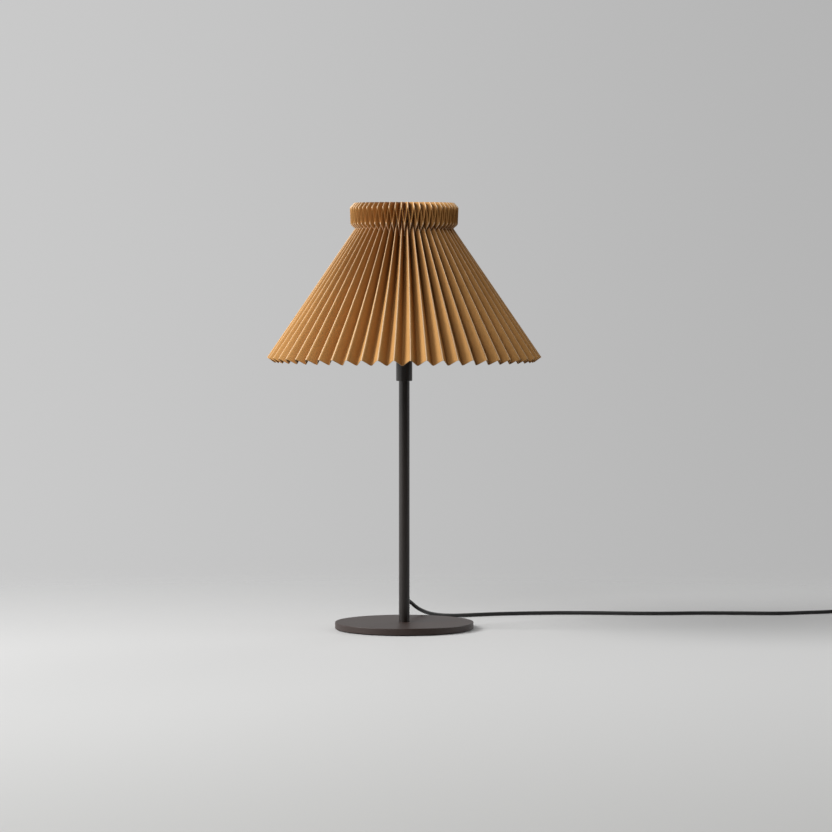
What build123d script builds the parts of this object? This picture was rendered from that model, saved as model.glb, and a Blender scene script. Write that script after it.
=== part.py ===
from build123d import *
from math import atan2, cos, hypot, pi, radians, sin, sqrt, tan
import os

# Pleated paper table lamp, as the pieces it comes apart into.
# Millimetres. The origin is on the floor under the middle of the base, +Z is up, +X is the
# viewer's right and +Y goes to the back, where the cord leaves the stem.

# ---------------------------------------------------------------- driving dimensions

# base
base_diameter = 180.0
base_thickness = 8.5
base_edge = 0.8            # rounding of the plate's two rims
pad_thickness = 1.0
pad_margin = 4.0           # from the plate's rim in to the pad's
pad_hole_diameter = 22.0   # lets a driver reach the screw

# stem
stem_diameter = 14.0
stem_wall = 1.5
stem_seat = 1.0            # how deep the tube stands in the plate
foot_length = 20.0
screw_diameter = 8.0
screw_head = 15.0
screw_length = 20.0
screw_hex = 5.0            # across the flats of its socket
screw_hex_depth = 3.5
screw_play = 0.2           # round its shank in the plate

# cup on the stem
cup_bottom = 322.5         # above the floor
cup_diameter = 21.0
cup_height = 36.0
cup_socket = 22.0          # the part of its height that takes the tube
cup_edge = 0.5
grub_diameter = 4.0
grub_height = 9.0          # above the cup's lower end
grub_hex = 2.0
nipple_diameter = 10.0
nipple_bore = 8.2
nipple_in_cup = 12.0
nipple_in_cap = 8.0

# lampholder, the small screw size
holder_diameter = 28.0     # over the skirt's thread
holder_wall = 2.2
cap_height = 22.0
cap_neck_diameter = 16.0
cap_neck_height = 9.0
spigot_height = 5.5        # of the skirt inside the cap
shoulder_diameter = 36.0
shoulder_height = 2.0
skirt_height = 26.0        # above the shoulder
skirt_bevel = 1.0
insert_height = 10.0
insert_below_shoulder = 2.0
shell_wall = 0.5
shell_height = 18.0
spring_contact = 2.4       # height of the centre contact
contact_strip = 0.5        # thickness of its strip
contact_tip = 3.2          # diameter of its top
terminal_diameter = 4.0
terminal_height = 2.0
terminal_gap = 0.7         # between a terminal screw and its core
clamp_height = 7.0
clamp_diameter = 39.0
clamp_edge = 0.6
clamp_notches = 24         # for the fingers
clamp_notch_width = 1.6
clamp_notch_depth = 0.6

# bulb, a small globe
bulb_length = 78.0
bulb_diameter = 45.0
bulb_wall = 1.2
bulb_waist = 12.0          # from the globe's middle down to its housing
bulb_swell = 1.0           # by which the housing's side bulges halfway up
bulb_cap_diameter = 13.9
bulb_cap_height = 15.0
bulb_cap_bevel = 3.0
bulb_contact_height = 3.0
bulb_contact_diameter = 4.8
bulb_contact_bevel = 1.0
board_thickness = 1.6
board_gap = 0.5            # between the board and the globe

# shade
pleat_count = 54
pleat_phase = 2.5          # degrees from the front to the nearest ridge, to the viewer's right
panel_width = 15.2         # from a ridge fold to the next valley fold
paper = 0.4
hem_diameter = 355.0       # over the ridges
hem_height = 353.2
neck_diameter = 127.0      # in the groove under the collar
neck_height = 519.6
collar_overhang = 7.3      # of the collar's upper corner beyond the groove
collar_lean_below = 48.5   # degrees from upright
collar_lean_above = 43.0
collar_height = 34.3       # from the groove up to the rim, which is trimmed level
cone_bands = 4             # flat bands that follow the slight curve of the valleys

# carrier inside the shade
wire = 3.0
ring_inset = 5.5           # from the groove in to the middle of the ring's wire
carrier_arm_count = 3
hub_thickness = 1.5
hub_diameter = 48.0

# cord
cord_diameter = 5.0
core_diameter = 2.2
cord_gap = 0.1             # between the cord and the floor, and between its two cores
bend_share = 0.45          # of the shorter run beside it, which a bend takes up
cord_exit_height = 36.0
cord_exit_run = 14.0       # straight behind the strain relief
flex_room = 0.4            # between the cord and the bore of the nipple
flex_jacket = 2.0          # how far the cord's jacket comes out of the nipple
relief_diameter = 8.4
relief_end_diameter = 6.2
relief_length = 22.0       # behind the stem
relief_collar = 4.0        # its plain part at the stem
relief_plug = 7.0          # diameter of the part in the stem's wall
relief_inset = 3.0         # how far it reaches in from the stem's outside
relief_grooves = 4
groove_width = 1.4
groove_depth = 0.5

# in-line switch
switch_left = 640.0        # its left end, from the lamp's axis
switch_lane = 196.0        # its middle line, behind the lamp's axis
switch_length = 64.0
switch_width = 26.0
switch_height = 17.0
switch_wall = 1.8
switch_corner = 9.0
switch_edge = 2.5
switch_boss = 4.0          # length of the cord entries
switch_boss_diameter = 9.0
rocker_length = 18.0
rocker_width = 11.0
rocker_tilt = 8.0          # degrees either way from level
rocker_pivot = 11.0        # above the floor
rocker_pin = 3.0
rocker_rise = 2.2          # of its ends above the cover
rocker_hollow = 1.65       # of its middle under its ends
rocker_ear = 7.5           # length of the two ears that carry its pins
rocker_skirt = 1.0         # of its ends below the cover's top
switch_contact_length = 5.0
switch_contact_width = 6.0
switch_contact_height = 3.0
switch_contact_spread = 7.0     # from the switch's middle
spring_length = 18.0
spring_width = 4.0
spring_strip = 0.5
spring_foot = 0.6          # what it stands on at each end
spring_clear = 1.5         # under the rocker
switch_screw = 3.0
switch_screw_head = 2.0    # height of its head
switch_screw_play = 0.5    # at its tip
screw_across = 7.0         # of the two screws, from the middle line
screw_along = 22.0         # and from the switch's middle

# the cord that is put away
coil_outer = 34.0          # radius of the outer half turn
coil_half_turns = 5        # in each of the two layers
coil_turn_gap = 0.6
coil_layer_gap = 0.5
coil_clear = 36.0          # from the switch's end to the coil's middle
lead_in_run = 10.8         # level part at each end of the lead from the switch
lead_out_run = 9.24        # and of the lead to the plug
tie_thickness = 0.8
tie_width = 10.0
tie_gap = 0.3              # round the cords that it holds
tie_round = 1.2

# plug, flat with two round pins
plug_width = 35.3
plug_height = 13.7
plug_back_width = 17.0
plug_back_height = 11.0
plug_length = 33.0
plug_round = 5.0
plug_face_length = 6.0     # its straight part next to the pins
plug_face_draft = 1.0      # by which that part narrows
plug_lead = 28.0           # cord between the coil and the plug's tail
tail_length = 22.0
tail_diameter = 9.0
pin_diameter = 4.0
pin_length = 19.0
pin_root = 9.0             # inside the plug
pin_spacing = 18.6

# clearances
fit_gap = 0.05             # round pieces pushed or screwed into each other
turn_gap = 0.1             # flat faces that turn on each other
seat_gap = 0.3             # paper over its carrier
slot_gap = 0.5             # rocker in its window
past = 1.0                 # how far a cut runs on past the face that it opens

# ---------------------------------------------------------------- heights and helpers

base_top = pad_thickness + base_thickness
stem_bottom = base_top - stem_seat
cup_shoulder = cup_bottom + cup_socket
cup_top = cup_bottom + cup_height
shoulder_bottom = cup_top + cap_height
shoulder_top = shoulder_bottom + shoulder_height
hub_bottom = shoulder_top + turn_gap
hub_top = hub_bottom + hub_thickness
clamp_bottom = hub_top + turn_gap
insert_bottom = shoulder_bottom - insert_below_shoulder
insert_top = insert_bottom + insert_height
bulb_bottom = insert_top + spring_contact + turn_gap
bulb_middle = bulb_bottom + bulb_length - bulb_diameter / 2
bulb_cap_bottom = bulb_bottom + bulb_contact_height
bulb_cap_top = bulb_cap_bottom + bulb_cap_height
bulb_housing_top = bulb_middle - bulb_waist
stem_bore = stem_diameter / 2 - stem_wall
shell_bore = bulb_cap_diameter / 2 + turn_gap
skirt_bore = holder_diameter / 2 - holder_wall
cap_bore = holder_diameter / 2 - holder_wall
carrier_ring_diameter = neck_diameter - 2 * ring_inset
collar_diameter = neck_diameter + 2 * collar_overhang
rim_height = neck_height + collar_height
relief_end = stem_diameter / 2 + relief_length


def turned(*profile):
    """A solid of revolution about the lamp's axis, from (radius, height) corners."""
    outline = Polyline(*[(radius, 0, height) for radius, height in profile], close=True)
    return revolve(make_face(outline), Axis.Z)


def ring(inner, outer, low, high):
    """A turned ring or, with no inner radius, a disc."""
    return turned((inner, low), (outer, low), (outer, high), (inner, high))


def rod(start, end, diameter):
    """A round bar between two points."""
    start, end = Vector(start), Vector(end)
    plane = Plane(origin=start, z_dir=end - start)
    return extrude(plane * Circle(diameter / 2), (end - start).length)


def tube(path, diameter):
    """A cord's solid along a path. Prints how true its volume is."""
    section = Plane(origin=path @ 0, z_dir=path % 0) * Circle(diameter / 2)
    solid = sweep(section, path=path)
    ratio = solid.volume / (pi * diameter ** 2 / 4 * path.length)
    print(f"  tube {path.length:.1f} mm long, volume over section times length {ratio:.5f}")
    return solid


def write(node, *solids):
    """Write one piece, or a group of like pieces, as parts/NODE.step."""
    solids = [solid for item in solids for solid in item.solids()]
    shape = solids[0] if len(solids) == 1 else Compound(children=solids)
    export_step(shape, f"parts/{node}.step")


# ---------------------------------------------------------------- base and stem


def base_plate():
    plate = ring(0, base_diameter / 2, pad_thickness, base_top)
    rims = plate.edges().filter_by(GeomType.CIRCLE)
    plate = fillet(rims, base_edge)
    seat = ring(0, stem_diameter / 2 + fit_gap, stem_bottom, base_top + past)
    head = screw_head / 2 + fit_gap
    shank = screw_diameter / 2 + screw_play
    countersink = turned(
        (0, pad_thickness - past), (head + past, pad_thickness - past),
        (shank, pad_thickness + head - shank), (shank, base_top), (0, base_top))
    return plate - seat - countersink


def base_pad():
    return ring(pad_hole_diameter / 2, base_diameter / 2 - pad_margin, 0, pad_thickness)


def stem_tube():
    tube_solid = ring(stem_bore, stem_diameter / 2, stem_bottom, cup_shoulder)
    hole = rod((0, 0, cord_exit_height), (0, stem_diameter, cord_exit_height), relief_plug + 2 * fit_gap)
    return tube_solid - hole


def stem_foot():
    bore = screw_diameter / 2 + fit_gap
    return ring(bore, stem_bore - fit_gap, stem_bottom, stem_bottom + foot_length)


def stem_screw():
    head, shank = screw_head / 2, screw_diameter / 2
    screw = turned(
        (0, pad_thickness), (head, pad_thickness), (shank, pad_thickness + head - shank),
        (shank, pad_thickness + screw_length), (0, pad_thickness + screw_length))
    socket = Plane.XY.offset(pad_thickness) * RegularPolygon(screw_hex / 2, 6, major_radius=False)
    return screw - extrude(socket, screw_hex_depth)


def stem_cup():
    outer = ring(0, cup_diameter / 2, cup_bottom, cup_top)
    outer = chamfer(outer.edges().filter_by(GeomType.CIRCLE), cup_edge)
    socket = ring(0, stem_diameter / 2 + fit_gap, cup_bottom - past, cup_shoulder)
    thread = ring(0, nipple_diameter / 2 + fit_gap, cup_shoulder - past, cup_top + past)
    hole = rod((0, 0, cup_bottom + grub_height), (0, cup_diameter, cup_bottom + grub_height),
               grub_diameter + 2 * fit_gap)
    return outer - socket - thread - hole


def cup_screw():
    inner, outer = stem_diameter / 2 + fit_gap, cup_diameter / 2 - 2 * fit_gap
    height = cup_bottom + grub_height
    grub = rod((0, inner, height), (0, outer, height), grub_diameter)
    mouth = Plane(origin=(0, outer, height), z_dir=(0, -1, 0))
    return grub - extrude(mouth * RegularPolygon(grub_hex / 2, 6, major_radius=False), grub_hex)


def threaded_nipple():
    return ring(nipple_bore / 2, nipple_diameter / 2, cup_top - nipple_in_cup, cup_top + nipple_in_cap)


# ---------------------------------------------------------------- lampholder


def holder_cap():
    neck, outer = cap_neck_diameter / 2, holder_diameter / 2
    neck_top = cup_top + cap_neck_height
    flare_top = neck_top + (outer - neck)
    return turned(
        (nipple_diameter / 2 + fit_gap, cup_top), (neck, cup_top), (neck, neck_top - holder_wall),
        (outer, flare_top - holder_wall), (outer, shoulder_bottom), (cap_bore, shoulder_bottom),
        (cap_bore, flare_top), (neck, neck_top), (nipple_diameter / 2 + fit_gap, neck_top))


def holder_skirt():
    ledge = skirt_bore - 2 * holder_wall
    return turned(
        (ledge, shoulder_bottom - spigot_height), (cap_bore - fit_gap, shoulder_bottom - spigot_height),
        (cap_bore - fit_gap, shoulder_bottom), (shoulder_diameter / 2, shoulder_bottom),
        (shoulder_diameter / 2, shoulder_top), (holder_diameter / 2, shoulder_top),
        (holder_diameter / 2, shoulder_top + skirt_height - skirt_bevel),
        (holder_diameter / 2 - skirt_bevel, shoulder_top + skirt_height),
        (skirt_bore, shoulder_top + skirt_height), (skirt_bore, shoulder_top),
        (skirt_bore - holder_wall, shoulder_top - holder_wall / 2),
        (skirt_bore - holder_wall, insert_bottom), (ledge, insert_bottom))


def holder_insert():
    step = shoulder_top - holder_wall / 2
    lower = ring(0, skirt_bore - holder_wall - fit_gap, insert_bottom, step)
    upper = ring(0, shell_bore + shell_wall, step, insert_top)
    return lower + upper


def holder_shell():
    return ring(shell_bore, shell_bore + shell_wall, insert_top, insert_top + shell_height)


def holder_contact():
    foot, tip = shell_bore / 2, contact_tip / 2
    strip_top = insert_top + contact_strip
    return turned(
        (0, insert_top), (foot, insert_top), (foot, strip_top), (tip + contact_strip, strip_top),
        (tip, insert_top + spring_contact), (0, insert_top + spring_contact))


def holder_terminals():
    reach = core_diameter + terminal_diameter / 2 + terminal_gap
    return [rod((x, 0, insert_bottom - terminal_height), (x, 0, insert_bottom), terminal_diameter)
            for x in (-reach, reach)]


def clamp_ring():
    body = ring(holder_diameter / 2 + fit_gap, clamp_diameter / 2, clamp_bottom, clamp_bottom + clamp_height)
    body = chamfer(body.edges().filter_by(GeomType.CIRCLE).sort_by(SortBy.RADIUS)[-2:], clamp_edge)
    notch = Pos(clamp_diameter / 2, 0, clamp_bottom + clamp_height / 2) * Box(
        2 * clamp_notch_depth, clamp_notch_width, clamp_height + past)
    notches = [Rot(0, 0, 360 * i / clamp_notches) * notch for i in range(clamp_notches)]
    return body - notches


# ---------------------------------------------------------------- bulb


def bulb_globe():
    """An opal dome: more than half a sphere, open where it sits on the housing."""
    outer = Pos(0, 0, bulb_middle) * Sphere(bulb_diameter / 2)
    inner = Pos(0, 0, bulb_middle) * Sphere(bulb_diameter / 2 - bulb_wall)
    below = ring(0, bulb_diameter, bulb_middle - bulb_diameter, bulb_housing_top)
    return outer - inner - below


def bulb_housing():
    top = sqrt((bulb_diameter / 2) ** 2 - bulb_waist ** 2)
    neck = bulb_cap_diameter / 2
    mid_height = (bulb_cap_top + bulb_housing_top) / 2
    mid_radius = (neck + top) / 2 + bulb_swell
    side = Spline((neck, 0, bulb_cap_top), (mid_radius, 0, mid_height), (top, 0, bulb_housing_top))
    rest = Polyline((top, 0, bulb_housing_top), (0, 0, bulb_housing_top), (0, 0, bulb_cap_top),
                    (neck, 0, bulb_cap_top))
    return revolve(make_face([side, rest]), Axis.Z)


def bulb_board():
    inside = sqrt((bulb_diameter / 2 - bulb_wall) ** 2 - bulb_waist ** 2)
    return ring(0, inside - board_gap, bulb_housing_top, bulb_housing_top + board_thickness)


def bevelled_disc(radius, bevel, low, high):
    """A disc whose lower edge is bevelled."""
    return turned((0, low), (radius - bevel, low), (radius, low + bevel), (radius, high), (0, high))


def bulb_cap():
    return bevelled_disc(bulb_cap_diameter / 2, bulb_cap_bevel, bulb_cap_bottom, bulb_cap_top)


def bulb_contact():
    return bevelled_disc(bulb_contact_diameter / 2, bulb_contact_bevel, bulb_bottom, bulb_cap_bottom)


# ---------------------------------------------------------------- pleated shade
#
# The sheet has straight parallel folds. Round the lamp they are ridges and valleys in turn, and
# each stays in one upright half plane, so a fold is a line in (radius, height). Two reverse folds
# cross the pleats under the collar and along its widest edge, and at each one ridges become
# valleys and valleys ridges. A strip between two such crossings is given by its lean from
# upright, positive when it opens upwards. The rim is trimmed level once the sheet is folded.


def along(lean):
    return (sin(lean), cos(lean))


def outwards(lean):
    return (cos(lean), -sin(lean))


def shifted(point, direction, distance):
    return (point[0] + distance * direction[0], point[1] + distance * direction[1])


def crossing(point_a, lean_a, point_b, lean_b):
    """Where two fold lines meet."""
    (ux, uz), (vx, vz) = along(lean_a), along(lean_b)
    dx, dz = point_b[0] - point_a[0], point_b[1] - point_a[1]
    return shifted(point_a, (ux, uz), (dx * vz - dz * vx) / (ux * vz - uz * vx))


def pleat_depth(outer_radius, lean):
    """From a ridge to its valley, square to the ridge, for a panel of full width."""
    step = 2 * sin(pi / (2 * pleat_count))
    half = step ** 2 * outer_radius * cos(lean) / 2
    return half + sqrt(half ** 2 + panel_width ** 2 - (step * outer_radius) ** 2)


def mitre(radius):
    """From a fold's middle line to the paper's face at the fold."""
    return paper / 2 * panel_width / (radius * sin(pi / pleat_count))


neck = (neck_diameter / 2, neck_height)
cone_lean = -atan2(hem_diameter / 2 - neck[0], neck_height - hem_height)
below_lean, above_lean = radians(collar_lean_below), -radians(collar_lean_above)
neck_depth = pleat_depth(neck[0], cone_lean)
# the upper corner lies on the collar's lower strip, on the folds that are valleys there
corner_line = shifted(neck, outwards(below_lean), -neck_depth)
corner_step = (collar_diameter / 2 - corner_line[0]) / sin(below_lean)
corner = shifted(corner_line, along(below_lean), corner_step)


def fold_points(first_is_ridge, face):
    """One fold from hem to rim, as (radius, height) on the paper's outer (+1) or inner (-1) face."""
    points = []
    for band in range(cone_bands):
        ridge = (hem_diameter / 2 + (neck[0] - hem_diameter / 2) * band / cone_bands,
                 hem_height + (neck_height - hem_height) * band / cone_bands)
        depth = 0 if first_is_ridge else pleat_depth(ridge[0], cone_lean)
        points.append(shifted(ridge, outwards(cone_lean), face * mitre(ridge[0]) - depth))
    depths = (0, neck_depth, 0) if first_is_ridge else (neck_depth, 0, neck_depth)
    anchors = zip((neck, neck, corner), (cone_lean, below_lean, above_lean), depths)
    lines = [(shifted(anchor, outwards(lean), face * mitre(anchor[0]) - depth), lean)
             for anchor, lean, depth in anchors]
    points.append(crossing(*lines[0], *lines[1]))
    points.append(crossing(*lines[1], *lines[2]))
    start = shifted(corner, outwards(above_lean), -depths[2])
    rim_radius = start[0] + (rim_height - start[1]) * tan(above_lean)
    points.append((rim_radius + face * mitre(rim_radius) / cos(above_lean), rim_height))
    return points


def paper_shade():
    """The sheet as small flat facets: an outer and an inner face, the hem's and the rim's edge."""
    folds = {(ridge, face): fold_points(ridge, face) for ridge in (True, False) for face in (1, -1)}

    def corner_at(fold, row, face):
        radius, height = folds[fold % 2 == 0, face][row]
        turn = radians(pleat_phase - 90) + pi * fold / pleat_count
        return (radius * cos(turn), radius * sin(turn), height)

    rows = len(folds[True, 1])
    facets = []
    for panel in range(2 * pleat_count):
        # each panel is split the same way from its ridge fold, so neighbours mirror each other
        ridge, valley = (panel, panel + 1) if panel % 2 == 0 else (panel + 1, panel)
        for face in (1, -1):
            for row in range(rows - 1):
                low, high = corner_at(ridge, row, face), corner_at(valley, row + 1, face)
                facets.append((low, high, corner_at(ridge, row + 1, face)))
                facets.append((low, high, corner_at(valley, row, face)))
        for row in (0, rows - 1):
            low, high = corner_at(ridge, row, 1), corner_at(valley, row, -1)
            facets.append((low, high, corner_at(ridge, row, -1)))
            facets.append((low, high, corner_at(valley, row, 1)))
    sheet = Shell([Face(Wire.make_polygon([Vector(*point) for point in facet])) for facet in facets])
    return Solid(sheet)


def fold_lengths():
    """Developed length of a ridge fold and of a valley fold. In a true sheet the valley's is longer
    by what the level trim leaves on it, and by nothing else."""
    for first_is_ridge in (True, False):
        outer, inner = fold_points(first_is_ridge, 1), fold_points(first_is_ridge, -1)
        middle = [((a[0] + b[0]) / 2, (a[1] + b[1]) / 2) for a, b in zip(outer, inner)]
        yield sum(hypot(b[0] - a[0], b[1] - a[1]) for a, b in zip(middle, middle[1:]))


# ---------------------------------------------------------------- shade carrier


def carrier_ring_height():
    """The ring's wire lies just inside the valleys, under the neck."""
    reach = wire / 2 + seat_gap
    touch = carrier_ring_diameter / 2 + reach * cos(cone_lean)
    valley = fold_points(False, -1)[:cone_bands + 1]
    for low, high in zip(valley, valley[1:]):
        if high[0] <= touch <= low[0]:
            share = (touch - low[0]) / (high[0] - low[0])
            return low[1] + share * (high[1] - low[1]) + reach * sin(cone_lean)
    raise ValueError("the carrier ring is wider or narrower than the cone")


def carrier_ring():
    return Pos(0, 0, carrier_ring_height()) * Torus(carrier_ring_diameter / 2, wire / 2)


def carrier_hub():
    return ring(holder_diameter / 2 + fit_gap, hub_diameter / 2, hub_bottom, hub_top)


def carrier_arms():
    """Straight wires, cut flat where they stand on the hub and hollow where they meet the ring."""
    foot = hub_diameter / 2 - wire
    top = carrier_ring_height()
    end = Vector(carrier_ring_diameter / 2, 0, top)
    start = Vector(foot, 0, hub_top)
    start = start - (end - start).normalized() * wire
    arm = rod(start, end, wire)
    arm = arm - ring(0, hub_diameter, hub_bottom - hub_diameter, hub_top) - carrier_ring()
    arm = arm.solids().sort_by(SortBy.VOLUME)[-1]
    return [Rot(0, 0, 90 + 360 * i / carrier_arm_count) * arm for i in range(carrier_arm_count)]


# ---------------------------------------------------------------- cord

floor_line = cord_diameter / 2 + cord_gap    # height of the cord's middle where it lies on the floor
switch_middle = switch_height / 2
switch_right = switch_left + switch_length

# from the strain relief, down behind the stem, over the plate's rim and along the floor
stretch_route = [
    (0, relief_end, cord_exit_height),
    (0, relief_end + cord_exit_run, cord_exit_height),
    (7.5, 62, 29.8),
    (17, 80, 19.2),
    (30, 101, 10.8),
    (44, 120.5, 6.0),
    (62.5, 137, 3.4),
    (83, 149.5, floor_line),
    (112, 163, floor_line),
    (159, 175.5, floor_line),
    (217, 182, floor_line),
    (276, 177.5, floor_line),
    (338, 170, floor_line),
    (397, 178, floor_line),
    (455, 176, floor_line),
    (508, 170.5, floor_line),
    (542, 183, floor_line),
    (577, 193, floor_line),
    (600, 195.5, 4.0),
    (618, switch_lane, switch_middle),
    (switch_left - switch_boss, switch_lane, switch_middle),
]


def smooth(route):
    """Straight runs joined by arcs, each as large as its two runs allow. Prints the radii."""
    points = [Vector(*point) for point in route]
    runs = [b - a for a, b in zip(points, points[1:])]
    radii = []
    for before, after in zip(runs, runs[1:]):
        half_turn = radians(before.get_angle(after)) / 2
        radii.append(bend_share * min(before.length, after.length) / tan(half_turn))
    print("  runs", [round(run.length, 1) for run in runs])
    print("  radii", [round(radius) for radius in radii])
    return FilletPolyline(*points, radius=radii)


def cord_stretch():
    return tube(smooth(stretch_route), cord_diameter)


def ribbed_taper(plain, wide, narrow, length):
    """A strain relief that stands on its wide end: a plain collar, then a taper with round grooves
    that let it bend."""
    slope = (wide - narrow) / 2 / (length - plain)
    pitch = (length - plain) / (relief_grooves + 1)
    taper = turned((0, 0), (wide / 2, 0), (wide / 2, plain), (narrow / 2, length), (0, length))
    for i in range(relief_grooves):
        middle = plain + pitch * (i + 1)
        root = wide / 2 - slope * (middle - plain) - groove_depth
        taper = taper - ring(root, wide, middle - groove_width / 2, middle + groove_width / 2)
    return taper


def cord_relief():
    """A taper moulded on the cord, with a plug that fills the hole in the stem."""
    outside = stem_diameter / 2
    taper = ribbed_taper(outside + relief_collar, relief_diameter, relief_end_diameter, relief_end)
    lie_back = Plane(origin=(0, 0, cord_exit_height), x_dir=(1, 0, 0), z_dir=(0, 1, 0))
    taper = lie_back.from_local_coords(taper)
    taper = taper - ring(0, outside + fit_gap, 0, cup_bottom)
    inner_end = (0, outside - relief_inset, cord_exit_height)
    outer_end = (0, outside + past, cord_exit_height)
    return taper + rod(inner_end, outer_end, relief_plug)


flex_side = (nipple_bore - cord_diameter) / 2 - flex_room    # the cord runs a little off the stem's axis
flex_top = cup_top + nipple_in_cap + flex_jacket


def stem_flex():
    inside = stem_diameter / 2 - relief_inset
    path = FilletPolyline((0, inside, cord_exit_height), (0, -flex_side, cord_exit_height),
                          (0, -flex_side, flex_top), radius=inside + flex_side - fit_gap)
    return tube(path, cord_diameter)


def flex_cores():
    offset = core_diameter / 2 + cord_gap
    return [rod((x, -flex_side, flex_top), (x, -flex_side, insert_bottom), core_diameter)
            for x in (-offset, offset)]


# ---------------------------------------------------------------- in-line switch


def switch_block(low, high, inset):
    """The switch's rounded plan between two heights, smaller by the inset all round."""
    outline = RectangleRounded(switch_length - 2 * inset, switch_width - 2 * inset, switch_corner - inset)
    middle = Plane.XY.offset(low) * Pos(switch_left + switch_length / 2, switch_lane) * outline
    return extrude(middle, high - low)


def switch_screw_spots():
    middle = switch_left + switch_length / 2
    return [(middle + side * screw_along, switch_lane + side * screw_across) for side in (-1, 1)]


def upright(spot, diameter, low, high):
    return rod((*spot, low), (*spot, high), diameter)


def cord_entries():
    left = rod((switch_left - switch_boss, switch_lane, switch_middle),
               (switch_left + switch_wall, switch_lane, switch_middle), switch_boss_diameter)
    right = rod((switch_right - switch_wall, switch_lane, switch_middle),
                (switch_right + switch_boss, switch_lane, switch_middle), switch_boss_diameter)
    return left + right


def half_space(low, high):
    """A slab that holds everything of the switch between two heights."""
    return Pos(switch_left + switch_length / 2, switch_lane, (low + high) / 2) * Box(
        2 * switch_length, 2 * switch_width, high - low)


def switch_base():
    shell = switch_block(0, switch_middle, 0)
    shell = fillet(shell.edges().group_by(Axis.Z)[0], switch_edge)
    shell = shell - switch_block(switch_wall, switch_middle, switch_wall)
    shell = shell + (cord_entries() & half_space(0, switch_middle))
    for spot in switch_screw_spots():
        shell = shell + upright(spot, 2 * switch_screw, switch_wall, switch_middle)
        shell = shell - upright(spot, switch_screw + 2 * fit_gap, 0, switch_middle)
        shell = shell - upright(spot, 2 * switch_screw - switch_wall / 2, 0, switch_screw)
    return shell


def rocker_window():
    """The opening in the cover, long enough for the rocker's ends to sway as it tilts."""
    sway = (switch_height + rocker_rise - rocker_pivot) * sin(radians(rocker_tilt))
    return Pos(switch_left + switch_length / 2, switch_lane, switch_height) * Box(
        rocker_length + 2 * (slot_gap + sway), rocker_width + 2 * slot_gap, 4 * switch_wall)


def switch_cover():
    shell = switch_block(switch_middle, switch_height, 0)
    shell = fillet(shell.edges().group_by(Axis.Z)[-1], switch_edge)
    shell = shell - switch_block(switch_middle, switch_height - switch_wall, switch_wall)
    shell = shell + (cord_entries() & half_space(switch_middle, switch_height))
    shell = shell - rocker_window()
    roof = switch_height - switch_wall
    middle = switch_left + switch_length / 2
    for side in (-1, 1):
        ear = switch_lane + side * (rocker_width / 2 + slot_gap + switch_wall / 2)
        height = roof - rocker_pivot + rocker_pin
        shell = shell + Pos(middle, ear, roof - height / 2) * Box(rocker_ear, switch_wall, height)
    shell = shell - rod((middle, switch_lane - switch_width / 2 + switch_wall, rocker_pivot),
                        (middle, switch_lane + switch_width / 2 - switch_wall, rocker_pivot),
                        rocker_pin + 2 * fit_gap)
    for spot in switch_screw_spots():
        shell = shell + upright(spot, 2 * switch_screw, switch_middle, roof)
        shell = shell - upright(spot, switch_screw + 2 * fit_gap, switch_middle, roof - switch_wall)
    return shell


def switch_rocker():
    """A block with a shallow valley on top and its pivot pins, tilted to one side at rest."""
    middle = switch_left + switch_length / 2
    end, top = rocker_length / 2, switch_height + rocker_rise
    face = top - rocker_hollow
    drop = rocker_pivot - rocker_pin
    skirt = switch_height - rocker_skirt
    outline = Polyline(
        (-end, 0, skirt), (-end, 0, top), (0, 0, face), (end, 0, top), (end, 0, skirt),
        (rocker_pin, 0, drop), (-rocker_pin, 0, drop), close=True)
    block = extrude(make_face(outline), rocker_width / 2, both=True)
    reach = rocker_width / 2 + slot_gap + switch_wall
    pins = rod((0, -reach, rocker_pivot), (0, reach, rocker_pivot), rocker_pin)
    pivot = Axis((0, 0, rocker_pivot), (0, 1, 0))
    return Pos(middle, switch_lane, 0) * (block + pins).rotate(pivot, rocker_tilt)


def switch_contacts():
    middle = switch_left + switch_length / 2
    block = Box(switch_contact_length, switch_contact_width, switch_contact_height)
    height = switch_wall + switch_contact_height / 2
    return [Pos(middle + side * switch_contact_spread, switch_lane, height) * block for side in (-1, 1)]


def switch_spring():
    """A bowed strip across the two contacts, under the rocker."""
    middle = switch_left + switch_length / 2
    low, high = switch_wall + switch_contact_height, rocker_pivot - rocker_pin - spring_clear
    end, heel = spring_length / 2, spring_length / 2 - spring_foot
    bow = ThreePointArc((-end, 0, low), (0, 0, high), (end, 0, low))
    under = ThreePointArc((-heel, 0, low), (0, 0, high - spring_strip), (heel, 0, low))
    feet = [Line((-end, 0, low), (-heel, 0, low)), Line((heel, 0, low), (end, 0, low))]
    return Pos(middle, switch_lane, 0) * extrude(make_face([bow, under, *feet]), spring_width / 2, both=True)


def switch_screws():
    screws = []
    tip = switch_height - 2 * switch_wall - switch_screw_play
    head_bottom = switch_screw - switch_screw_head
    for spot in switch_screw_spots():
        shank = upright(spot, switch_screw, head_bottom + switch_screw_head / 2, tip)
        head = upright(spot, 2 * switch_screw - switch_wall, head_bottom, switch_screw)
        screws.append(shank + head)
    return screws


# ---------------------------------------------------------------- coil, tie and plug

coil_low = floor_line + tie_thickness + tie_gap
coil_rise = cord_diameter + coil_layer_gap
coil_pitch = cord_diameter + coil_turn_gap
coil_x = switch_right + switch_boss + coil_clear
coil_shrink = [coil_outer - coil_pitch / 2 * i for i in range(coil_half_turns)]
coil_radii = coil_shrink + [coil_shrink[-1] - coil_pitch / 2] + coil_shrink[::-1]
plug_middle = plug_height / 2
plug_tail_start = coil_x - plug_lead


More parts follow.
